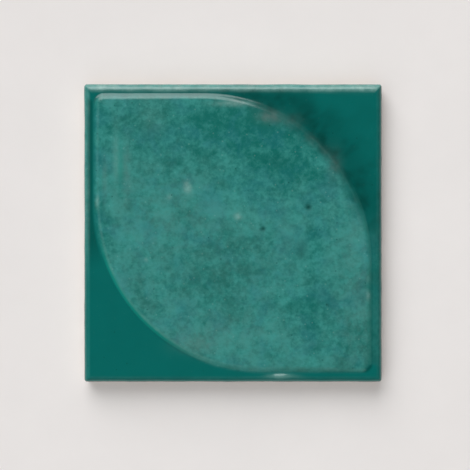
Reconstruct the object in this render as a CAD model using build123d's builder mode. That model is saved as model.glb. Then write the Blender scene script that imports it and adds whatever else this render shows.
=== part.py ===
"""Zellige effect tile: one pressed, glazed and fired wall tile with a raised leaf on its face.

Millimetres and degrees. +Z points out of the face and +Y up the wall. The origin is the middle of
the back, on the plane that beds in the adhesive.
"""

from build123d import *

import os
from math import cos, pi, radians, sin, tan

# Overall size
tile_side = 100.0
field_height = 7.8
plan_corner_radius = 1.0

# Sides and rim: a square joint land, relieved towards the back and rounded over at the face
back_relief_height = 3.0
back_relief_angle = 8.0
back_arris_radius = 0.4
rim_radius = 2.4

# Raised leaf: a square with two opposite corners swept round, and a pointed tip at the other two
leaf_inset = 3.5
leaf_sweep_radius = 56.0
leaf_tip_radius = 1.2
leaf_rise = 1.2
shoulder_angle = 56.0
shoulder_radius = 1.5
foot_radius = 0.6

# Uneven top of the leaf: a slight crown with shallow hand-made hollows in it
crown_drop = 0.45
hollow_depth = 0.15
hollow_length_x = 61.0
hollow_length_y = 47.0
surface_stations = 13
surface_tolerance = 0.005

# Keyed back: a waffle of shallow pockets inside a plain border
back_border = 8.0
pockets_per_side = 6
pocket_rib = 2.4
pocket_depth = 0.8
pocket_draft = 25.0
pocket_corner_radius = 1.5

# Sizes that follow from the ones above
leaf_side = tile_side - 2 * leaf_inset
leaf_top = field_height + leaf_rise
leaf_blank_height = leaf_rise + 2 * hollow_depth
leaf_tip_foot_radius = leaf_tip_radius + leaf_blank_height * tan(radians(shoulder_angle))
pocket_pitch = (tile_side - 2 * back_border + pocket_rib) / pockets_per_side
pocket_side = pocket_pitch - pocket_rib


def leaf_level(x, y):
    """Height of the leaf's uneven top above the back."""
    crown = crown_drop * (x * x + y * y) / (leaf_side * leaf_side / 2)
    hollow = hollow_depth * sin(2 * pi * x / hollow_length_x) * cos(2 * pi * y / hollow_length_y)
    return leaf_top - crown + hollow


def uneven_top():
    """The free-form surface that closes the leaf, as wide as the tile."""
    step = tile_side / (surface_stations - 1)
    stations = [i * step - tile_side / 2 for i in range(surface_stations)]
    rows = [[(x, y, leaf_level(x, y)) for y in stations] for x in stations]
    return Face.make_surface_from_array_of_points(rows, tol=surface_tolerance)


# Raised leaf, with sloping shoulders under an uneven top
with BuildPart() as leaf:
    with BuildSketch(Plane.XY.offset(field_height)) as leaf_plan:
        Rectangle(leaf_side, leaf_side)
        swept = leaf_plan.vertices().sort_by(Axis((0, 0, 0), (1, 1, 0)))
        fillet([swept[0], swept[-1]], radius=leaf_sweep_radius)
        tips = leaf_plan.vertices().sort_by(Axis((0, 0, 0), (1, -1, 0)))
        fillet([tips[0], tips[-1]], radius=leaf_tip_foot_radius)
    extrude(amount=leaf_blank_height, taper=shoulder_angle)
    extrude(uneven_top(), amount=leaf_blank_height, dir=(0, 0, 1), mode=Mode.SUBTRACT)
    crown = leaf.faces().sort_by(Axis.Z)[-1]
    fillet(crown.edges(), radius=shoulder_radius)

# Tile body, with the leaf on its face and the key in its back
with BuildPart() as tile:
    with BuildSketch(Plane.XY.offset(back_relief_height)) as joint_outline:
        RectangleRounded(tile_side, tile_side, plan_corner_radius)
    extrude(amount=field_height - back_relief_height)
    extrude(joint_outline.sketch, amount=-back_relief_height, taper=back_relief_angle)
    fillet(tile.faces().sort_by(Axis.Z)[-1].edges(), radius=rim_radius)
    fillet(tile.faces().sort_by(Axis.Z)[0].edges(), radius=back_arris_radius)

    add(leaf.part)
    low_face = tile.faces().filter_by(Plane.XY).sort_by(Axis.Z)[-1]
    fillet(low_face.inner_wires().edges(), radius=foot_radius)

    with BuildSketch(Plane.XY) as key:
        with GridLocations(pocket_pitch, pocket_pitch, pockets_per_side, pockets_per_side):
            RectangleRounded(pocket_side, pocket_side, pocket_corner_radius)
    extrude(amount=pocket_depth, taper=pocket_draft, mode=Mode.SUBTRACT)

tile.part.label = "tile"
os.makedirs("parts", exist_ok=True)
export_step(tile.part, "parts/tile.step")
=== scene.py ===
"""Zellige effect tile: one pressed, glazed and fired wall tile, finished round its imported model.

Metres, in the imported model's frame: +Z out of the glazed face, +Y up the wall, origin in the middle
of the back. The tile is one closed mesh: a grid in the middle of the face and another in the middle
of the back, joined by rings that follow the leaf, the rim, the sides and the border of the back.
"""

from math import cos, pi, radians, sin, tan
from typing import NamedTuple

import bpy
import numpy as np
from bpy.props import FloatProperty, FloatVectorProperty, IntProperty, PointerProperty
from mathutils import Euler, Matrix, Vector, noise


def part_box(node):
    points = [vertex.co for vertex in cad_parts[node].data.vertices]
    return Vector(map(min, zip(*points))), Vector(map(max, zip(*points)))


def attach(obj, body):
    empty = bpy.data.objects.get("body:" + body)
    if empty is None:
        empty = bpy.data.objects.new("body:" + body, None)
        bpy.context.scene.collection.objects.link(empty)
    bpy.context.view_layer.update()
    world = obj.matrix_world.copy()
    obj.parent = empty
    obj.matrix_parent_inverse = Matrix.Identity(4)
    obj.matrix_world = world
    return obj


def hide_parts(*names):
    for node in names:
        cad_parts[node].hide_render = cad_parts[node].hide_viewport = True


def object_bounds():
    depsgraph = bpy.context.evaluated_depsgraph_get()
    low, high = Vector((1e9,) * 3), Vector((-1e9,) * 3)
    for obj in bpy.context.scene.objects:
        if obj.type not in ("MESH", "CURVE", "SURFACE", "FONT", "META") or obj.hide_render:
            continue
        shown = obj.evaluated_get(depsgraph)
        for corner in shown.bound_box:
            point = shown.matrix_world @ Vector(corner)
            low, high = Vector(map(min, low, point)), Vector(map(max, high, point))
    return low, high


bl_info = {
    "name": "Zellige Effect Tile",
    "version": (1, 0, 0),
    "blender": (4, 5, 0),
    "location": "3D View > Sidebar > Tile",
    "description": "Builds one glazed wall tile with a raised leaf, and the studio that shows it",
    "category": "Add Mesh",
}

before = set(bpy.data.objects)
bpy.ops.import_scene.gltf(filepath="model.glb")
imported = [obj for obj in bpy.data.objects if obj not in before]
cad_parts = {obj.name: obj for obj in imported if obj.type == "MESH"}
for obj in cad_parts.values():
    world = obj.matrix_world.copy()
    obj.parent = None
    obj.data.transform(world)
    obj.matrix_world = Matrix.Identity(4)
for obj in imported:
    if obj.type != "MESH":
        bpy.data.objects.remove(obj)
cad_low, cad_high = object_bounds()
tile_low, tile_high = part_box("tile")

MM = 0.001


def linear(colour):
    """Linear red, green and blue of an sRGB colour written as hex."""
    channels = [int(colour[i:i + 2], 16) / 255 for i in (1, 3, 5)]
    return tuple(c / 12.92 if c <= 0.04045 else ((c + 0.055) / 1.055) ** 2.4 for c in channels)


def length(name, description, size):
    """A property that holds a length."""
    return FloatProperty(
        name=name, description=description, default=size, min=0.0, precision=5, unit="LENGTH"
    )


def angle(name, description, degrees):
    """A property that holds an angle."""
    return FloatProperty(
        name=name, description=description, default=radians(degrees), unit="ROTATION"
    )


def amount(name, description, value):
    """A property that holds a plain number."""
    return FloatProperty(name=name, description=description, default=value, min=0.0)


def colour(name, description, value):
    """A property that holds a colour."""
    return FloatVectorProperty(
        name=name,
        description=description,
        default=linear(value),
        min=0.0,
        max=1.0,
        size=3,
        subtype="COLOR",
    )


class TileShape(bpy.types.PropertyGroup):
    """Sizes of the pressed body and of the relief that glazing and firing leave on it"""

    side: length("Side", "Length of each side over the joint lands", tile_high.x - tile_low.x)
    field_height: length("Field height", "Height of the low corners above the back", 7.8 * MM)
    corner_radius: length("Corner radius", "Radius of the upright corners", 1.0 * MM)
    rim_radius: length("Rim radius", "Radius of the rounded rim of the face", 2.4 * MM)
    relief_height: length("Back relief", "Height that the relieved lower sides reach", 3.0 * MM)
    relief_angle: angle("Back relief angle", "Slope of the relieved lower sides", 8.0)
    arris_radius: length("Back arris", "Radius of the edge round the back", 0.4 * MM)

    leaf_inset: length("Leaf inset", "From the side of the tile to the foot of the leaf", 3.5 * MM)
    sweep_radius: length("Leaf sweep", "Radius of the leaf's two round sides", 56.0 * MM)
    tip_radius: length("Leaf tip", "Radius of the leaf's two tips, at the foot", 3.4 * MM)
    leaf_rise: length("Leaf rise", "Height of the leaf above the low corners", 1.2 * MM)
    shoulder_angle: angle("Shoulder angle", "Slope of the leaf's shoulder, from upright", 56.0)
    shoulder_blend: length("Shoulder blend", "How softly the shoulder meets the top", 0.55 * MM)
    foot_blend: length("Foot blend", "How softly the glaze fills the foot", 0.35 * MM)

    crown_drop: length("Crown drop", "Fall of the leaf's top from its middle to its tips", 0.45 * MM)
    hollow_depth: length("Hollow depth", "Depth of the hollows in the leaf's top", 0.15 * MM)
    hollow_length_x: length("Hollow length X", "Length of the hollows across the tile", 61.0 * MM)
    hollow_length_y: length("Hollow length Y", "Length of the hollows up the tile", 47.0 * MM)

    back_border: length("Back border", "Width of the plain border of the back", 8.0 * MM)
    pocket_rib: length("Pocket rib", "Width of the ribs between the pockets", 2.4 * MM)
    pocket_depth: length("Pocket depth", "Depth of the pockets in the back", 0.8 * MM)
    pocket_draft: angle("Pocket draft", "Slope of the pockets' walls, from upright", 25.0)
    pocket_radius: length("Pocket radius", "Radius of the pockets' corners", 1.5 * MM)
    pockets: IntProperty(
        name="Pockets", description="Pockets along each side of the back", default=6, min=1
    )

    wave_size: length("Wave size", "Width of the slow waves in the glaze", 17.0 * MM)
    wave_depth: length("Wave depth", "Height of the slow waves in the glaze", 0.07 * MM)
    edge_wander: length("Edge wander", "How far the hand-finished rim wanders", 0.2 * MM)
    lip_height: length("Glaze edge", "Mean height at which the glaze ends on the sides", 4.1 * MM)
    lip_wander: length("Glaze edge wander", "How far that edge runs up and down", 0.9 * MM)
    lip_thickness: length("Glaze thickness", "How far the glaze stands off the side", 0.14 * MM)


class GlazeColours(bpy.types.PropertyGroup):
    """Colours of the fired tile, as they look in even white light"""

    # Also painted shade, up the leaf's shoulder and over the rims turned from the key light
    pooled: colour("Pooled glaze", "Thick glaze in the low corners", "#006761")
    deepest: colour("Deepest glaze", "Glaze in pinholes and at the foot of the leaf", "#00443e")
    drawn: colour("Drawn glaze", "Clear glaze drawn down the leaf's shoulder", "#0a8578")
    # Also painted light on the leaf's shoulders that face away from the key light
    clear: colour("Clear glaze", "Glaze where it is clear and deep", "#00665d")
    blue: colour("Blue glaze", "Glaze where the copper fired bluer", "#1f7080")
    milky: colour("Milky glaze", "Glaze clouded by fine bubbles", "#35928a")
    # Its pale colour also paints the highlights on the top rim and crest, the glints, and light on
    # shaded shoulders
    thin: colour("Thin glaze", "Glaze drawn thin over an edge", "#86b0a8")
    iron: colour("Iron break", "Thin glaze browned by iron in the clay", "#5a746e")
    biscuit: colour("Biscuit", "Bare fired clay", "#c1b09d")
    wash: colour("Kiln wash", "White kiln wash rubbed off on the back", "#e2dacf")


class StudioLook(bpy.types.PropertyGroup):
    """Camera, floor and light"""

    lens: FloatProperty(name="Lens", description="Focal length in mm", default=120.0, min=1.0)
    tile_pixels: amount("Tile width", "Width of the tile in the picture, in pixels", 300.0)
    floor_colour: colour("Plaster", "Colour of the floor", "#e9e5e3")
    floor_side: length("Floor", "Length of each side of the floor", 8.0)

    key_strength: amount("Key", "Strength of the soft light from above the tile", 2.35)
    key_azimuth: angle("Key azimuth", "Where the key light stands, clockwise from +Y", -19.0)
    key_tilt: angle("Key tilt", "Angle of the key light from straight overhead", 52.0)
    key_width: angle("Key width", "How wide the key light looks from the tile", 52.0)

    fill_strength: amount("Fill", "Strength of the overhead light that evens the shadows", 1.5)
    fill_azimuth: angle("Fill azimuth", "Where the fill light stands, clockwise from +Y", -150.0)
    fill_tilt: angle("Fill tilt", "Angle of the fill light from straight overhead", 25.0)
    fill_width: angle("Fill width", "How wide the fill light looks from the tile", 90.0)


# Plan of the tile

CELLS = 144  # along each side of both grids, and a quarter of each ring
SHARES = np.linspace(-1, 1, CELLS + 1)
CORE_SHARE = 0.5  # half width of the face's grid, as a share of the tile's half side


def square_side(half, radius):
    """Top side of a rounded square, from its left corner to its right one."""
    x = SHARES * half
    turn = np.clip((np.abs(x) - (half - radius)) / radius, 0, 1) * pi / 4
    bent_x = np.sign(x) * (half - radius + radius * np.sin(turn))
    return np.where(turn > 0, bent_x, x), half - radius + radius * np.cos(turn)


def leaf_side(shape, inset):
    """Top side of the leaf's outline moved in by inset, opposite the points of the tile's side."""
    half = shape.side / 2 - shape.leaf_inset
    x = SHARES * shape.side / 2
    arc_x, tip_x = half - shape.sweep_radius, shape.tip_radius - half
    radius = np.select([x > arc_x, x < tip_x], [shape.sweep_radius, shape.tip_radius], half)
    centre_x, centre_y = np.clip(x, tip_x, arc_x), half - radius
    away = np.hypot(x - centre_x, shape.side / 2 - centre_y)
    reach = (radius - inset) / away
    return centre_x + reach * (x - centre_x), centre_y + reach * (shape.side / 2 - centre_y)


def all_round(x, y):
    """Closed ring from its top side, for a figure that is the same about both diagonals."""
    ring_x = np.concatenate([x[:-1], y[:0:-1], -x[:-1], -y[:0:-1]])
    ring_y = np.concatenate([y[:-1], x[:0:-1], -y[:-1], -x[:0:-1]])
    return np.column_stack([ring_x, ring_y])


def square_ring(half, radius):
    """Closed ring on a rounded square."""
    return all_round(*square_side(half, radius))


def leaf_ring(shape, inset):
    """Closed ring on the leaf's outline moved in by inset."""
    return all_round(*leaf_side(shape, inset))


def leaf_depth(shape, x, y):
    """Distance inside the foot of the leaf, negative outside it."""
    half = shape.side / 2 - shape.leaf_inset
    outside = np.maximum(np.abs(x), np.abs(y)) - half
    for sign_x, sign_y, radius in (
        (1, 1, shape.sweep_radius),
        (-1, -1, shape.sweep_radius),
        (-1, 1, shape.tip_radius),
        (1, -1, shape.tip_radius),
    ):
        u, v = sign_x * x - (half - radius), sign_y * y - (half - radius)
        rounded = np.hypot(u, v) - radius
        outside = np.where((u > 0) & (v > 0), np.maximum(outside, rounded), outside)
    return -outside


def outward(points):
    """Unit direction out of the tile's outline at each point of a ring."""
    steps = np.roll(points, -1, axis=0) - np.roll(points, 1, axis=0)
    across = np.column_stack([-steps[:, 1], steps[:, 0]])
    return across / np.linalg.norm(across, axis=1, keepdims=True)


# Relief of the face

# Where each unevenness is read from the noise, so that no two of them agree
SEEDS = {
    "waves": 3.7,
    "ripples": 8.1,
    "rim": 21.3,
    "lip": 33.1,
    "ragged": 51.0,
    "clouded": 63.0,
    "broken": 77.0,
}
NOISE_FALL, NOISE_STEP = 1.0, 2.0  # how much lower and how much finer each octave is

RIPPLE_SHARE = 0.4  # height of the ripples, as a share of the waves that carry them
RIPPLES_PER_WAVE = 3
MARK_FADE = 1.4  # how steeply a mark fades round its middle


class Mark(NamedTuple):
    """A mark of firing, or a spot of painted light: its place, half size and height on the face, in
    mm, and its strength.
    """

    x: float
    y: float
    half_width: float
    half_height: float
    height: float
    strength: float


# Marks by the layer of colour that they add to, or take from where the strength is negative
MARKS = {
    # Two larger pinholes, three smaller ones and two shallow dents, all filled deep with glaze
    "deep": (
        Mark(25.2, 8.6, 1.1, 1.1, -0.16, 0.9),
        Mark(10.0, 1.4, 1.0, 1.0, -0.14, 0.8),
        Mark(-18.4, 31.0, 0.6, 0.6, -0.08, 0.5),
        Mark(31.5, -24.0, 0.6, 0.6, -0.08, 0.5),
        Mark(6.0, -31.5, 0.6, 0.6, -0.08, 0.4),
        Mark(23.1, -5.9, 2.6, 4.6, -0.03, 0.5),
        Mark(15.0, 24.0, 5.0, 2.6, -0.03, 0.2),
    ),
    # Blisters on the leaf, a bead on the bottom rim, and places where the glaze lies thin; among them
    # painted glints on the leaf's edges and on the bead, and painted highlights on the top rim and
    # crest
    "thin": (
        Mark(-15.2, 15.2, 1.5, 2.1, 0.03, 0.7),
        Mark(1.7, 5.5, 1.4, 1.4, 0.03, 0.6),
        Mark(-29.0, -9.0, 0.8, 0.8, 0.02, 0.3),
        Mark(-21.4, 12.0, 1.2, 1.0, 0.02, 0.3),
        # Painted glints: one on a slight swelling at the leaf's left edge, two at its right edge
        Mark(-45.3, 10.3, 0.7, 2.2, 0.02, 0.5),
        Mark(45.0, -21.0, 0.8, 1.8, 0.02, 0.4),
        Mark(45.0, -15.5, 0.8, 1.4, 0.02, 0.2),
        # A bead 0.42 mm high on the bottom rim, with a painted glint on it
        Mark(16.2, -47.9, 4.4, 0.9, 0.42, 0.8),
        # A pale streak and a pale patch in the glaze at the leaf's upper left
        Mark(-39.0, 25.0, 1.2, 10.0, 0.0, 0.2),
        Mark(-27.0, 38.0, 5.0, 6.0, 0.0, 0.12),
        # Painted highlights: the bright end of the crest's highlight, and the top rim's highlight at
        # its left and right
        Mark(0.0, 43.3, 6.5, 1.1, 0.0, 0.55),
        Mark(-43.0, 49.0, 5.0, 0.9, 0.0, 0.4),
        Mark(41.0, 49.0, 8.0, 0.9, 0.0, 0.3),
    ),
    # Brown breaks behind the crest at the top, and in the leaf's left, right and bottom parts
    "rust": (
        Mark(12.2, 38.6, 4.5, 2.4, 0.0, 0.65),
        Mark(20.0, 37.0, 4.0, 3.0, 0.0, 0.2),
        Mark(-42.8, 17.0, 1.1, 10.0, 0.0, 0.3),
        Mark(-35.5, 21.0, 1.6, 13.0, -0.02, 0.3),
        Mark(33.5, 22.4, 3.0, 6.5, 0.0, 0.25),
        Mark(-13.0, -37.0, 8.0, 3.6, 0.0, 0.36),
    ),
    # One long run of clear glaze on the left of the leaf
    "drawn": (Mark(-37.8, 22.0, 2.2, 8.0, 0.0, 0.55),),
    # Clearer stretches at the top, the middle and the right of the leaf, and milkier ones to the left
    # of its middle, along its right edge, where the milkier colour is painted light lifting the shade
    # of the crown's fall, and at its bottom
    "cloud": (
        Mark(-2.0, 36.0, 52.0, 13.0, 0.0, -0.42),
        Mark(4.0, 16.0, 12.0, 10.0, 0.0, -0.2),
        Mark(24.0, -27.0, 11.0, 15.0, 0.0, -0.25),
        Mark(24.0, 24.0, 18.0, 13.0, 0.0, -0.4),
        Mark(27.0, -4.0, 5.0, 10.0, 0.0, -0.3),
        Mark(-20.0, 4.0, 16.0, 10.0, 0.0, 0.18),
        # Painted light: milkier colour that lifts the shade where the crown falls away at the right
        Mark(41.0, -18.0, 6.0, 26.0, 0.0, 0.3),
        Mark(0.0, -33.0, 26.0, 6.0, 0.0, 0.2),
    ),
}


def uneven(points, size, what, octaves=3):
    """Smooth unevenness of about -1 to 1, whose bumps are about size wide."""
    scaled = np.column_stack([points / size, np.full(len(points), SEEDS[what])])
    return np.array([noise.fractal(p, NOISE_FALL, NOISE_STEP, octaves) for p in scaled])


def smooth_min(a, b, reach):
    """The lower of two heights, blended where they are nearer than reach."""
    near = np.maximum(reach - np.abs(a - b), 0)
    return np.minimum(a, b) - near * near / (4 * reach)


def mark_cover(points, mark):
    """How far a mark covers each point, 1 in its middle."""
    across = (points[:, 0] / MM - mark.x) / mark.half_width
    up = (points[:, 1] / MM - mark.y) / mark.half_height
    return np.exp(-MARK_FADE * (across ** 2 + up ** 2))


def leaf_level(shape, x, y):
    """Height of the leaf's top above the low corners, before glazing."""
    leaf_half = shape.side / 2 - shape.leaf_inset
    crown = shape.crown_drop * (x * x + y * y) / (2 * leaf_half * leaf_half)
    hollow = np.sin(2 * pi * x / shape.hollow_length_x) * np.cos(2 * pi * y / shape.hollow_length_y)
    return shape.leaf_rise - crown + shape.hollow_depth * hollow


def face_height(shape, points):
    """Height of the glazed face over the back, before the rim falls away."""
    x, y = points[:, 0], points[:, 1]
    slope = leaf_depth(shape, x, y) / tan(shape.shoulder_angle)
    rise = smooth_min(slope, leaf_level(shape, x, y), shape.shoulder_blend)
    rise = -smooth_min(-rise, np.zeros_like(rise), shape.foot_blend)
    ripples = uneven(points, shape.wave_size / RIPPLES_PER_WAVE, "ripples")
    waves = uneven(points, shape.wave_size, "waves") + RIPPLE_SHARE * ripples
    height = shape.field_height + rise - shape.wave_depth * (1 + waves)
    for marks in MARKS.values():
        for mark in marks:
            height += mark.height * MM * mark_cover(points, mark)
    return height


# Rings of the mesh, from the middle of the face outwards and down to the back

CORE_CORNER = 1.0 * MM  # radius at the corners of the face's grid
SHARP_CORNER = 0.05 * MM  # radius where the rim starts, as good as a sharp corner
LEAF_RINGS = 36  # from the grid to the crest of the leaf
SHOULDER_TOP = 2.9 * MM  # inside the foot of the leaf, as the insets of the shoulder's rings are
SHOULDER_INSETS_MM = (2.6, 2.35, 2.1, 1.85, 1.6, 1.35, 1.05, 0.75, 0.45, 0.2, 0.0, -0.2)
FIELD_RINGS = 14  # from the foot of the leaf to the start of the rim
RIM_RINGS = 9

RIM_WANDER_LENGTH = 9.0 * MM
LIP_WANDER_LENGTH = 12.0 * MM
LIP_OVER_RELIEF = 0.35 * MM  # the least height of the glaze's edge over the relieved lower side
LIP_UNDER_RIM = 0.6 * MM  # and the least below the rim
LIP_ROUND_TOP = 0.2 * MM  # height over the glaze's edge at which the glaze starts to round over
LIP_ROUND_FOOT, LIP_ROUND_STEP = 0.08 * MM, 0.03 * MM  # where it has turned in, and how far

WALL_LINES = (3, 2, 2)  # grid lines over a pocket's corner, its wall and half a rib


class Ring(NamedTuple):
    """One ring of the mesh: its points from above, and the height of each."""

    points: np.ndarray
    height: np.ndarray


def moved_in(ring, normal, inset):
    """Ring moved towards the middle of the tile, by an inset for each point."""
    return ring - normal * inset[:, None]


def rim_wander(shape, outline):
    """How far the hand-finished rim stands in from the outline at each point."""
    wander = shape.edge_wander * (0.5 + 0.5 * uneven(outline, RIM_WANDER_LENGTH, "rim"))
    return wander - wander.min()


def glaze_edge(shape, outline):
    """Height at which the glaze ends on the sides, between the relieved part and the rim."""
    edge = shape.lip_height + shape.lip_wander * uneven(outline, LIP_WANDER_LENGTH, "lip")
    lowest = shape.relief_height + LIP_OVER_RELIEF
    return np.clip(edge, lowest, shape.field_height - shape.rim_radius - LIP_UNDER_RIM)


def face_rings(shape):
    """Rings of the face, from the grid's edge over the leaf and its shoulder to the rim."""
    core = square_ring(CORE_SHARE * shape.side / 2, CORE_CORNER)
    crest = leaf_ring(shape, SHOULDER_TOP)
    plan = [core + (crest - core) * share for share in np.linspace(0, 1, LEAF_RINGS + 1)[1:]]
    plan += [leaf_ring(shape, inset * MM) for inset in SHOULDER_INSETS_MM]
    foot, start = plan[-1], square_ring(shape.side / 2 - shape.rim_radius, SHARP_CORNER)
    shares = [(1 - cos(pi * k / FIELD_RINGS)) / 2 for k in range(1, FIELD_RINGS + 1)]
    plan += [foot + (start - foot) * share for share in shares]
    return [Ring(points, face_height(shape, points)) for points in plan]


def rim_rings(shape, normal, wander, start_height):
    """Rings round the rounded rim, from the edge of the face to the upright side."""
    rings = []
    for step in range(1, RIM_RINGS + 1):
        turn = step / RIM_RINGS * pi / 2
        inset = shape.rim_radius * (1 - sin(turn))
        ring = square_ring(shape.side / 2 - inset, max(shape.corner_radius - inset, SHARP_CORNER))
        fall = shape.rim_radius * (1 - cos(turn))
        level = shape.field_height + (start_height - shape.field_height) * cos(turn)
        rings.append(Ring(moved_in(ring, normal, wander * sin(turn)), level - fall))
    return rings


def lip_rings(shape, outline, normal, wander, lip):
    """Rings down the glazed top of the sides and over the rounded edge that the glaze ends in."""
    land = shape.field_height - shape.rim_radius
    steps = (
        ((land + lip) / 2, 0.0),
        (lip + LIP_ROUND_TOP, 0.0),
        (lip + LIP_ROUND_FOOT, LIP_ROUND_STEP),
        (lip, shape.lip_thickness),
    )
    return [Ring(moved_in(outline, normal, wander + inset), height) for height, inset in steps]


def side_rings(shape, outline, normal, wander, lip):
    """Rings of bare clay from the glaze's edge down the relieved sides and round the back's arris."""
    bare = shape.lip_thickness + wander
    relief, arris = shape.relief_height, shape.arris_radius
    fall = relief * tan(shape.relief_angle)
    steps = [((lip + relief) / 2, 0.0), (relief, 0.0)]
    for share in (0.5, 1.0):
        steps.append((relief + (arris - relief) * share, fall * share * (1 - arris / relief)))
    for turn in (pi / 6, pi / 3, pi / 2):
        steps.append((arris * (1 - sin(turn)), fall + arris * (1 - cos(turn))))
    return [
        Ring(moved_in(outline, normal, bare + inset), np.full(len(outline), height))
        for height, inset in steps
    ]


def border_rings(edge, inner):
    """Rings across the plain border of the back, from its arris to the grid of pockets."""
    return [Ring(edge + (inner - edge) * share, np.zeros(len(edge))) for share in (0.2, 0.5, 0.8)]


def pocket_size(shape):
    """Pitch of the pockets, and half the width of one."""
    pitch = (shape.side - 2 * shape.back_border + shape.pocket_rib) / shape.pockets
    return pitch, (pitch - shape.pocket_rib) / 2


def pocket_lines(shape):
    """Grid lines across the back's core, close together at the walls and corners of the pockets."""
    lines, left_over = divmod(CELLS, 2 * shape.pockets)
    if left_over or lines <= sum(WALL_LINES):
        raise ValueError(f"{CELLS} grid lines can't be shared by {shape.pockets} pockets")
    pitch, half = pocket_size(shape)
    wall = shape.pocket_depth * tan(shape.pocket_draft)
    stops = (0.0, half - shape.pocket_radius, half - wall, half, pitch / 2)
    counts = (lines - sum(WALL_LINES), *WALL_LINES)
    right = np.concatenate(
        [np.linspace(a, b, n, endpoint=False) for a, b, n in zip(stops, stops[1:], counts)]
    )
    one = np.concatenate([-np.append(right, pitch / 2)[:0:-1], right])
    middles = (np.arange(shape.pockets) - (shape.pockets - 1) / 2) * pitch
    return np.append(np.concatenate([middle + one for middle in middles]), middles[-1] + pitch / 2)


def back_height(shape, points):
    """Height of the keyed back: 0 on the ribs and the border, and up inside the pockets."""
    pitch, half = pocket_size(shape)
    reach = pitch * shape.pockets / 2
    local = np.abs((points + reach) % pitch - pitch / 2)
    corner = np.maximum(local - (half - shape.pocket_radius), 0)
    inside = shape.pocket_radius - np.hypot(corner[:, 0], corner[:, 1])
    inside = np.where(corner.min(axis=1) > 0, inside, half - local.max(axis=1))
    return np.clip(inside / tan(shape.pocket_draft), 0, shape.pocket_depth)


def grid(lines):
    """Points of a square grid, its faces, and the ring of indices round it from its upper left."""
    count = len(lines)
    x, y = np.meshgrid(lines, lines, indexing="ij")
    index = np.arange(count * count).reshape(count, count)
    faces = np.stack([index[:-1, :-1], index[1:, :-1], index[1:, 1:], index[:-1, 1:]], axis=-1)
    rim = np.concatenate([index[:-1, -1], index[-1, :0:-1], index[:0:-1, 0], index[0, :-1]])
    return np.column_stack([x.ravel(), y.ravel()]), faces.reshape(-1, 4), rim


def faces_between(inner, outer):
    """Faces that join two rings of indices."""
    return np.column_stack([inner, np.roll(inner, -1), np.roll(outer, -1), outer])


# Layers of the glaze, some of them carrying painted light and shade, stored on the mesh. In each,
# 1 covers what lies under it, and the widths are distances from the foot of the leaf or from the
# side of the tile

# Ways that an edge can face, in degrees from +X towards +Y
RIGHT, UPPER_RIGHT, TOP, UPPER_LEFT, LEFT, LOWER_LEFT, BOTTOM = 0, 45, 90, 135, 180, 225, 270
FULL_SHARE = 0.4  # of the angle over which a side fades, the share nearest its middle that is full
HEADING_STEP = 0.2 * MM


def blend(low, high, values):
    """Rises smoothly from 0 at low to 1 at high."""
    t = np.clip((values - low) / (high - low), 0, 1)
    return t * t * (3 - 2 * t)


def band(distance, middle, half_width, power=2):
    """1 along the middle of a band, fading to either side; a higher power has a flatter top."""
    return np.exp(-((distance - middle) / half_width) ** power)


def facing(heading, towards, half_width):
    """1 where an edge faces the given way, falling to 0 at half_width degrees from it."""
    turned = np.abs((heading - radians(towards) + pi) % (2 * pi) - pi)
    return 1 - blend(FULL_SHARE * radians(half_width), radians(half_width), turned)


class FaceMap:
    """Where each point lies on the face, and which way the leaf's edge and the rim face there."""

    def __init__(self, shape, flat):
        x, y = flat[:, 0], flat[:, 1]
        self.y = y
        self.edge = shape.side / 2 - np.maximum(np.abs(x), np.abs(y))
        self.depth = leaf_depth(shape, x, y)
        self.crest = leaf_level(shape, x, y) * tan(shape.shoulder_angle)
        slope_x = leaf_depth(shape, x - HEADING_STEP, y) - leaf_depth(shape, x + HEADING_STEP, y)
        slope_y = leaf_depth(shape, x, y - HEADING_STEP) - leaf_depth(shape, x, y + HEADING_STEP)
        self.leaf_heading = np.arctan2(slope_y, slope_x)
        on_right_or_left = np.abs(x) > np.abs(y)
        self.rim_heading = np.where(on_right_or_left, np.where(x > 0, 0, pi), np.sign(y) * pi / 2)

        self.ragged = 0.5 + 0.5 * uneven(flat, 5 * MM, "ragged")
        self.broken = uneven(flat, 9 * MM, "broken", octaves=4)
        self.clouded = blend(-0.4, 0.6, uneven(flat, 7 * MM, "clouded", octaves=4))

        self.inside_rim = blend(1.0 * MM, 2.3 * MM, self.edge)
        over_crest = blend(self.crest - 0.3 * MM, self.crest + 0.6 * MM, self.depth)
        self.shoulder = blend(0, 0.5 * MM, self.depth) * (1 - over_crest)
        behind_crest = blend(self.crest, self.crest + 6 * MM, self.depth)
        self.straight_left = self.leaf(LEFT, 25) * (1 - behind_crest)

    def leaf(self, towards, half_width):
        """1 where the leaf's edge faces the given way, falling to 0 beside it."""
        return facing(self.leaf_heading, towards, half_width)

    def rim(self, towards, half_width):
        """1 where the tile's rim faces the given way, falling to 0 beside it."""
        return facing(self.rim_heading, towards, half_width)

    def lit_upper_left_rim(self):
        """The upper half of the left rim, which gets a faint painted highlight and is kept out of the
        painted shade.
        """
        return self.rim(LEFT, 80) * blend(-20 * MM, 10 * MM, self.y)


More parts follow.
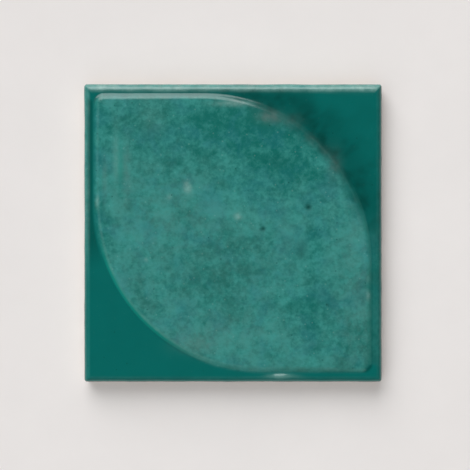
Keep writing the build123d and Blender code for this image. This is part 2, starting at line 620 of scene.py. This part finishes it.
def pooled_glaze_and_painted_shade(face):
    """Glaze run together in the low corners, which climbs furthest up the leaf's upper right, with
    painted shade: higher up the shoulder turned from the key light, and over the rims away from it.
    """
    upper_right = face.leaf(UPPER_RIGHT + 3, 55)
    # Painted shade: the pooled colour climbs higher where the shoulder faces away from the key light
    climb = 1.2 + 0.9 * (1 - face.leaf(UPPER_LEFT, 80)) + (1.6 + 3.0 * face.ragged) * upper_right
    climb -= 1.3 * face.leaf(BOTTOM, 40) + 0.5 * face.leaf(RIGHT, 30) + 0.5 * face.leaf(LEFT, 30)
    softness = 1.6 + 4.5 * upper_right
    pool_and_shade = 1 - blend((climb - softness) * MM, climb * MM, face.depth)
    # Painted shade over every rim but the top one and the lit upper half of the left one
    shaded_rims = 0.85 * (1 - face.rim(TOP, 80)) * (1 - 0.8 * face.lit_upper_left_rim())
    pool_and_shade *= np.maximum(face.inside_rim, shaded_rims)
    return pool_and_shade * (1 - 0.45 * face.leaf(RIGHT, 18))


def deepest_glaze(face, pool_and_shade):
    """Deepest glaze: a line along the foot of the leaf, the left groove, and a share of the pooled
    glaze with its painted shade, most in the upper right corner.
    """
    foot = 0.45 * band(face.depth, 0.1 * MM, 0.6 * MM) * face.inside_rim
    for towards, half_width, share in ((LOWER_LEFT, 75, 1.0), (RIGHT, 25, 0.8), (TOP + 5, 30, 0.6)):
        foot *= 1 - share * face.leaf(towards, half_width)
    groove = 0.6 * face.leaf(LEFT, 25) * (1 - blend(-0.9 * MM, 0.1 * MM, face.depth))
    groove *= blend(0.9 * MM, 1.8 * MM, face.edge)
    corner = (0.1 + 0.8 * blend(-13 * MM, -2 * MM, face.depth)) * face.leaf(UPPER_RIGHT, 62)
    thick = pool_and_shade * (0.13 + corner) * (0.5 + 0.5 * face.clouded)
    return np.maximum.reduce([foot, groove, thick])


def thin_glaze_and_painted_highlights(face):
    """Glaze drawn thin, with painted highlights and painted light in the same pale colour: most over
    the top rim, and a little on the leaf's crest and shoulder.
    """
    # Painted highlight: a wider pale band along the top rim, and a fainter one on the upper half of the
    # left rim; a little thin glaze on every rim
    top = face.rim(TOP, 80)
    rim = band(face.edge, (1.1 + 0.25 * top) * MM, (1.0 + 0.4 * top) * MM, power=4)
    rim *= 0.03 + 0.46 * top + 0.12 * face.lit_upper_left_rim()
    # On the crest, thin glaze all round and more at the lower left, with a faint painted highlight
    # where it faces up
    crest = band(face.depth, face.crest, 0.42 * MM)
    crest *= 0.04 + 0.1 * face.leaf(TOP + 10, 30) + 0.12 * face.leaf(LOWER_LEFT, 60)
    # Painted light on the shoulder at the bottom and the right, lifting its shade
    shoulder = face.shoulder * (0.13 * face.leaf(BOTTOM, 40) + 0.07 * face.leaf(RIGHT, 30))
    return np.maximum.reduce([rim, crest, shoulder]) * (0.5 + face.ragged)


def painted_shoulder_light(face):
    """Brighter clear glaze down the leaf's shoulder, most of it at the lower left: painted light that
    lifts the shade of the slopes turned from the key light.
    """
    # Painted light: brighter colour on the shoulders turned from the key light, most at the lower left
    shaded_lower_left = face.leaf(LOWER_LEFT, 75) * (1 - 0.65 * face.leaf(BOTTOM, 40))
    drawn = face.shoulder * (0.85 * shaded_lower_left + 0.25 * face.leaf(RIGHT, 30))
    return drawn * (1 - face.straight_left)


def iron_break(face):
    """Thin glaze browned by iron, behind the upper right crest and in places along the rim."""
    crest = band(face.depth, face.crest + 0.8 * MM, 1.8 * MM) * face.leaf(UPPER_RIGHT + 3, 55)
    crest *= 0.2 * blend(-0.3, 0.6, face.broken)
    rim = 0.4 * band(face.edge, 0.5 * MM, 0.5 * MM) * blend(0.25, 0.7, face.broken)
    return np.maximum(crest, rim)


def glaze_layers(shape, flat):
    """How each layer of the glaze lies at each point of the face, with the marks of firing and the
    spots of painted light.
    """
    face = FaceMap(shape, flat)
    pool_and_shade = pooled_glaze_and_painted_shade(face)
    layers = {
        "pool_and_shade": pool_and_shade,
        "deep": deepest_glaze(face, pool_and_shade),
        "thin": thin_glaze_and_painted_highlights(face),
        "rust": iron_break(face),
        "drawn": painted_shoulder_light(face),
        "cloud": 0.5 - 0.35 * face.straight_left,
    }
    for name, marks in MARKS.items():
        for mark in marks:
            layers[name] += mark.strength * mark_cover(flat, mark) * (0.6 + 0.8 * face.ragged)
    return layers


def paint(mesh, shape, flat, painted):
    """Stores the layers of the glaze on the mesh's first vertices, which are the face and rim."""
    for name, values in glaze_layers(shape, flat[:painted]).items():
        stored = np.zeros(len(flat), np.float32)
        stored[:painted] = np.clip(values, 0, 1)
        mesh.attributes.new(name, "FLOAT", "POINT").data.foreach_set("value", stored)


SHARP_ANGLE = radians(38)


class TILE_OT_body(bpy.types.Operator):
    """Build the tile as one closed mesh: glazed face, rim and sides over a keyed biscuit back"""

    bl_idname = "tile.body"
    bl_label = "Glazed Tile"

    def execute(self, context):
        shape, colours = context.scene.tile_shape, context.scene.glaze_colours
        half = shape.side / 2
        core, core_faces, core_rim = grid(SHARES * CORE_SHARE * half)
        back, back_faces, back_rim = grid(pocket_lines(shape))

        outline = square_ring(half, shape.corner_radius)
        normal = outward(outline)
        wander = rim_wander(shape, outline)
        lip = glaze_edge(shape, outline)
        face = face_rings(shape)
        face += rim_rings(shape, normal, wander, face[-1].height)
        glazed = face + lip_rings(shape, outline, normal, wander, lip)
        bare = side_rings(shape, outline, normal, wander, lip)
        bare += border_rings(bare[-1].points, back[back_rim])
        rings = glazed + bare

        count = len(outline)
        starts = len(core) + count * np.arange(len(rings) + 1)
        loops = [core_rim, *(start + np.arange(count) for start in starts[:-1]), starts[-1] + back_rim]
        joining = [faces_between(inner, outer) for inner, outer in zip(loops, loops[1:])]
        faces = np.concatenate([core_faces, *joining, starts[-1] + back_faces[:, ::-1]])
        flat = np.concatenate([core, *(ring.points for ring in rings), back])
        ring_heights = [ring.height for ring in rings]
        height = np.concatenate([face_height(shape, core), *ring_heights, back_height(shape, back)])
        vertices = np.column_stack([flat, np.clip(height, tile_low.z, tile_high.z)])

        mesh = bpy.data.meshes.new("zellige_tile")
        mesh.from_pydata(vertices.tolist(), [], faces.tolist())
        is_bare = np.arange(len(faces)) >= len(core_faces) + len(glazed) * count
        mesh.polygons.foreach_set("material_index", is_bare.astype(int))
        mesh.materials.append(fired_teal_glaze(colours))
        mesh.materials.append(pressed_biscuit(colours))
        paint(mesh, shape, flat, painted=len(core) + len(face) * count)
        mesh.shade_smooth()
        mesh.set_sharp_from_angle(angle=SHARP_ANGLE)
        if mesh.validate():
            raise RuntimeError("the tile's mesh has stray or doubled faces")
        mesh.update()

        piece = bpy.data.objects.new("zellige_tile", mesh)
        context.scene.collection.objects.link(piece)
        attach(piece, "root")
        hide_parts("tile")
        return {"FINISHED"}


# Materials

MIX_FACTOR, MIX_A, MIX_B, MIX_OUT = 0, 6, 7, 2  # sockets for colours, whose names are used twice
PATTERN_SHIFT = (1.0, 0.7, 1.3)  # way in which each pattern is moved, so that no two of them agree
SILICATE_IOR = 1.5  # of glaze and of fired clay
SPECK_CORE = 0.4  # share of a speck's radius that is full

# Clouds of bubbles in the glaze: width of a cloud, its share of the milkiness, how far its pattern is
# moved, and the noise at which it starts and is full. The bubbles are about 0.1 mm wide, too fine to
# show, so the finest cloud is drawn 0.7 mm wide.
BUBBLE_CLOUDS = (
    (27.0 * MM, 0.85, 0.3, (0.2, 0.8)),
    (8.0 * MM, 0.8, 1.7, (0.2, 0.8)),
    (3.2 * MM, 0.8, 2.9, (0.25, 0.75)),
    (1.4 * MM, 0.55, 5.1, (0.3, 0.7)),
    (0.7 * MM, 0.3, 6.4, (0.3, 0.7)),
)
CLARITY = 1.57  # taken off the sum of the clouds, so that clear and milky glaze hold the balance
CLEAREST, MILKIEST = -0.75, 1.75


def add(tree, kind, inputs=(), output=0, **settings):
    """Adds a node with its settings and gives one output; inputs maps sockets to values or links."""
    node = tree.nodes.new(kind)
    for name, value in settings.items():
        setattr(node, name, value)
    for socket, value in dict(inputs).items():
        if isinstance(value, bpy.types.NodeSocket):
            tree.links.new(value, node.inputs[socket])
        else:
            node.inputs[socket].default_value = value
    return node.outputs[output] if node.outputs else None


def solid(value):
    """A colour with full alpha."""
    return (*value, 1.0)


def new_material(name):
    """An empty node material and its tree."""
    material = bpy.data.materials.new(name)
    material.use_nodes = True
    material.node_tree.nodes.clear()
    return material, material.node_tree


def cloudy(tree, place, size, shift, detail, roughness, distortion=0.0, span=None, lowest=0.0):
    """Pattern with blotches about size wide; where span is given, it is stretched to lowest..1."""
    move = tuple(shift * share for share in PATTERN_SHIFT)
    moved = add(tree, "ShaderNodeVectorMath", {0: place, 1: move})
    pattern = add(
        tree,
        "ShaderNodeTexNoise",
        {
            "Vector": moved,
            "Scale": 1 / size,
            "Detail": detail,
            "Roughness": roughness,
            "Distortion": distortion,
        },
    )
    if span is None:
        return pattern
    return add(
        tree,
        "ShaderNodeMapRange",
        {"Value": pattern, "From Min": span[0], "From Max": span[1], "To Min": lowest},
        interpolation_type="SMOOTHSTEP",
    )


def specks(tree, place, spacing, radius):
    """Scattered round specks, 1 inside them."""
    cells = add(tree, "ShaderNodeTexVoronoi", {"Vector": place, "Scale": 1 / spacing})
    edge = radius / spacing
    return add(
        tree,
        "ShaderNodeMapRange",
        {"Value": cells, "From Min": SPECK_CORE * edge, "From Max": edge, "To Min": 1.0, "To Max": 0.0},
        interpolation_type="SMOOTHSTEP",
    )


def layered(tree, ground, coats):
    """Coats laid over a ground colour in turn: each has its pattern, its strength and its colour."""
    body = solid(ground)
    for pattern, strength, coat in coats:
        share = add(tree, "ShaderNodeMath", {0: pattern, 1: strength}, operation="MULTIPLY")
        body = add(
            tree,
            "ShaderNodeMix",
            {MIX_FACTOR: share, MIX_A: body, MIX_B: solid(coat)},
            output=MIX_OUT,
            data_type="RGBA",
        )
    return body


def fired_teal_glaze(colours):
    """Copper glaze over pressed clay, dipped and fired: a wet gloss over clouded, uneven depth, with
    painted highlights, glints, light and shade in its colour.
    """
    material, tree = new_material("fired_teal_glaze")
    place = add(tree, "ShaderNodeTexCoord", output="Object")
    stored = {
        name: add(tree, "ShaderNodeAttribute", output="Fac", attribute_name=name)
        for name in ("pool_and_shade", "deep", "thin", "rust", "drawn", "cloud")
    }

    # Bubbles left by the firing, which give the eye milky clouds of every size in clear glaze
    milk = add(tree, "ShaderNodeMath", {0: stored["cloud"], 1: -CLARITY})
    for size, share, shift, span in BUBBLE_CLOUDS:
        cloud = cloudy(tree, place, size, shift, 2.0, 0.5, distortion=0.3, span=span)
        milk = add(tree, "ShaderNodeMath", {0: cloud, 1: share, 2: milk}, operation="MULTIPLY_ADD")
    milk = add(
        tree,
        "ShaderNodeMapRange",
        {"Value": milk, "From Min": CLEAREST, "From Max": MILKIEST},
        interpolation_type="SMOOTHSTEP",
    )

    # What follows the stored layers: iron shows in milky glaze, and pooled glaze with its painted
    # shade hides the specks and lies smoother. Each has its layer, the levels where it starts and
    # ends, and its value at each
    follows = {
        name: add(
            tree,
            "ShaderNodeMapRange",
            {"Value": stored[layer], "From Min": low, "From Max": high, "To Min": start, "To Max": end},
            interpolation_type="SMOOTHSTEP",
        )
        for name, layer, low, high, start, end in (
            ("iron", "cloud", 0.05, 0.85, 0.0, 0.27),
            ("specks", "pool_and_shade", 0.1, 0.6, 0.16, 0.02),
            ("roughness", "pool_and_shade", 0.0, 1.0, 0.26, 0.16),
        )
    }

    # Copper that fired bluer, iron through the milk, then pooled glaze with its painted shade, deep
    # glaze, drawn glaze with its painted light, and thin glaze with its painted highlights and its
    # brown breaks, broken up so that no band runs even; last the pale and the dark specks of a zellige
    # glaze
    bluish = cloudy(tree, place, 9.0 * MM, 11.3, 3.0, 0.6, distortion=0.4, span=(0.45, 0.7))
    rusty = cloudy(tree, place, 5.0 * MM, 14.9, 3.0, 0.7, distortion=0.4, span=(0.3, 0.7), lowest=0.3)
    patchy = cloudy(tree, place, 3.0 * MM, 7.7, 3.0, 0.7, span=(0.35, 0.65), lowest=0.55)
    pale_specks = specks(tree, place, 2.6 * MM, 0.36 * MM)
    dark_specks = specks(tree, place, 4.6 * MM, 0.34 * MM)
    body = layered(
        tree,
        colours.clear,
        (
            (milk, 1.0, colours.milky),
            (bluish, 0.25, colours.blue),
            (rusty, follows["iron"], colours.iron),
            (stored["pool_and_shade"], 1.0, colours.pooled),
            (stored["deep"], 1.0, colours.deepest),
            (stored["drawn"], 1.0, colours.drawn),
            (stored["thin"], patchy, colours.thin),
            (stored["rust"], patchy, colours.iron),
            (pale_specks, follows["specks"], colours.thin),
            (dark_specks, 0.6, colours.deepest),
        ),
    )

    # A faint orange peel, which gives the gloss its soft, broken edge
    peel = cloudy(tree, place, 1.6 * MM, 8.0, 2.0, 0.5)
    bump = add(tree, "ShaderNodeBump", {"Height": peel, "Strength": 0.25, "Distance": 0.02 * MM})
    shader = add(
        tree,
        "ShaderNodeBsdfPrincipled",
        {"Base Color": body, "Roughness": follows["roughness"], "IOR": SILICATE_IOR, "Normal": bump},
    )
    add(tree, "ShaderNodeOutputMaterial", {"Surface": shader})
    return material


def pressed_biscuit(colours):
    """Dust-pressed clay fired without glaze: matt and grainy, blotched with white kiln wash.

    The grains of the dust are about 0.2 mm wide, too fine to show, and are drawn 0.9 mm wide.
    """
    material, tree = new_material("pressed_biscuit")
    place = add(tree, "ShaderNodeTexCoord", output="Object")
    blotches = cloudy(tree, place, 16.0 * MM, 0.9, 3.0, 0.6, span=(0.35, 0.7))
    grain = cloudy(tree, place, 0.9 * MM, 4.2, 2.0, 0.6, span=(0.3, 0.75))
    body = layered(
        tree, colours.biscuit, ((blotches, 0.5, colours.wash), (grain, 0.3, colours.wash))
    )
    bump = add(tree, "ShaderNodeBump", {"Height": grain, "Strength": 0.5, "Distance": 0.05 * MM})
    shader = add(
        tree,
        "ShaderNodeBsdfPrincipled",
        {"Base Color": body, "Roughness": 0.85, "IOR": SILICATE_IOR, "Normal": bump},
    )
    add(tree, "ShaderNodeOutputMaterial", {"Surface": shader})
    return material


def skimmed_plaster(floor_colour):
    """Trowelled plaster: matt and pale, with faint cloudy trowel marks."""
    darker, paler = 0.96, 1.03
    material, tree = new_material("skimmed_plaster")
    place = add(tree, "ShaderNodeTexCoord", output="Object")
    marks = cloudy(tree, place, 24.0 * MM, 3.0, 4.0, 0.6)
    dark = [c * darker for c in floor_colour]
    pale = [min(c * paler, 1.0) for c in floor_colour]
    body = layered(tree, dark, ((marks, 1.0, pale),))
    shader = add(tree, "ShaderNodeBsdfPrincipled", {"Base Color": body, "Roughness": 0.9})
    add(tree, "ShaderNodeOutputMaterial", {"Surface": shader})
    return material


# Studio

PICTURE_PIXELS = 470
TILE_CENTRE_PIXEL = 233  # of the tile's middle, from the left and from the top of the picture
SENSOR_MM = 36.0
FLOOR_GAP = 0.02 * MM  # keeps the floor and the back of the tile off one plane


def lay_floor(scene, look):
    """Pale plaster floor just under the tile, wide enough to fill every view."""
    half, level = look.floor_side / 2, cad_low.z - FLOOR_GAP
    corners = [(x * half, y * half, level) for x, y in ((-1, -1), (1, -1), (1, 1), (-1, 1))]
    mesh = bpy.data.meshes.new("plaster_floor")
    mesh.from_pydata(corners, [], [(0, 1, 2, 3)])
    mesh.materials.append(skimmed_plaster(look.floor_colour))
    floor = bpy.data.objects.new("plaster_floor", mesh)
    scene.collection.objects.link(floor)


def hang_lights(scene, look):
    """Soft key light from above the tile, and a fill light that gives no glint of its own."""
    for name, strength, azimuth, tilt, width, gives_glint in (
        ("key_light", look.key_strength, look.key_azimuth, look.key_tilt, look.key_width, True),
        ("fill_light", look.fill_strength, look.fill_azimuth, look.fill_tilt, look.fill_width, False),
    ):
        lamp = bpy.data.lights.new(name, "SUN")
        lamp.energy = strength
        lamp.angle = width
        light = bpy.data.objects.new(name, lamp)
        light.rotation_euler = Euler((-tilt, 0, -azimuth), "XYZ")
        light.visible_glossy = gives_glint
        scene.collection.objects.link(light)


def light_room(scene, look):
    """Dim room round the tile, whose bright wall on the key light's side the glaze reflects."""
    world = bpy.data.worlds.new("dim_studio")
    world.use_nodes = True
    tree = world.node_tree
    tree.nodes.clear()
    direction = add(tree, "ShaderNodeTexCoord", output="Generated")
    height = add(tree, "ShaderNodeSeparateXYZ", {"Vector": direction}, output="Z")
    to_key = add(
        tree,
        "ShaderNodeVectorMath",
        {0: direction, 1: (sin(look.key_azimuth), cos(look.key_azimuth), 0.0)},
        output="Value",
        operation="DOT_PRODUCT",
    )

    # What the brightness follows, from where to where, its value at each end, and how it joins in
    level = 1.0
    for value, low, high, start, end, how in (
        (height, 0.72, 0.93, 0.5, 0.02, "MULTIPLY"),  # a bright wall under a dark ceiling
        (to_key, 0.3, 0.85, 0.12, 1.0, "MULTIPLY"),  # brightest where the key light stands
        (height, 0.15, 0.5, 0.5, 1.0, "MULTIPLY"),  # dimmer low on the wall
        (height, 0.0, 0.12, 0.7, 0.0, "ADD"),  # pale where the wall meets the floor
    ):
        part = add(
            tree,
            "ShaderNodeMapRange",
            {"Value": value, "From Min": low, "From Max": high, "To Min": start, "To Max": end},
            interpolation_type="SMOOTHSTEP",
        )
        level = add(tree, "ShaderNodeMath", {0: level, 1: part}, operation=how)
    background = add(tree, "ShaderNodeBackground", {"Strength": level})
    add(tree, "ShaderNodeOutputWorld", {"Surface": background})
    scene.world = world


def set_camera(scene, look):
    """Camera that looks straight down on the tile, which fills tile_pixels of the picture."""
    pixel = (cad_high.x - cad_low.x) / look.tile_pixels
    shift = (PICTURE_PIXELS / 2 - TILE_CENTRE_PIXEL) * pixel
    distance = PICTURE_PIXELS * pixel * look.lens / SENSOR_MM
    data = bpy.data.cameras.new("camera")
    data.lens, data.sensor_width = look.lens, SENSOR_MM
    camera = bpy.data.objects.new("camera", data)
    camera.location = (shift, -shift, cad_high.z + distance)
    scene.collection.objects.link(camera)
    scene.camera = camera


class TILE_OT_studio(bpy.types.Operator):
    """Lay the floor, hang the lights and set the camera straight above the tile"""

    bl_idname = "tile.studio"
    bl_label = "Studio"

    def execute(self, context):
        scene, look = context.scene, context.scene.studio_look
        lay_floor(scene, look)
        hang_lights(scene, look)
        light_room(scene, look)
        set_camera(scene, look)
        scene.view_settings.view_transform = "Standard"
        return {"FINISHED"}


class TILE_PT_panel(bpy.types.Panel):
    """Lists the tile and the studio in the sidebar"""

    bl_label = "Zellige Effect Tile"
    bl_idname = "TILE_PT_panel"
    bl_space_type = "VIEW_3D"
    bl_region_type = "UI"
    bl_category = "Tile"

    def draw(self, context):
        for operator in OPERATORS:
            self.layout.operator(operator.bl_idname)


OPERATORS = (TILE_OT_body, TILE_OT_studio)
GROUPS = {"tile_shape": TileShape, "glaze_colours": GlazeColours, "studio_look": StudioLook}


def register():
    for entry in (*GROUPS.values(), *OPERATORS, TILE_PT_panel):
        bpy.utils.register_class(entry)
    for name, group in GROUPS.items():
        setattr(bpy.types.Scene, name, PointerProperty(type=group))


def unregister():
    for name in GROUPS:
        delattr(bpy.types.Scene, name)
    for entry in (TILE_PT_panel, *OPERATORS, *GROUPS.values()):
        bpy.utils.unregister_class(entry)


def main():
    register()
    bpy.ops.tile.body()
    bpy.ops.tile.studio()


if __name__ == "__main__":
    main()
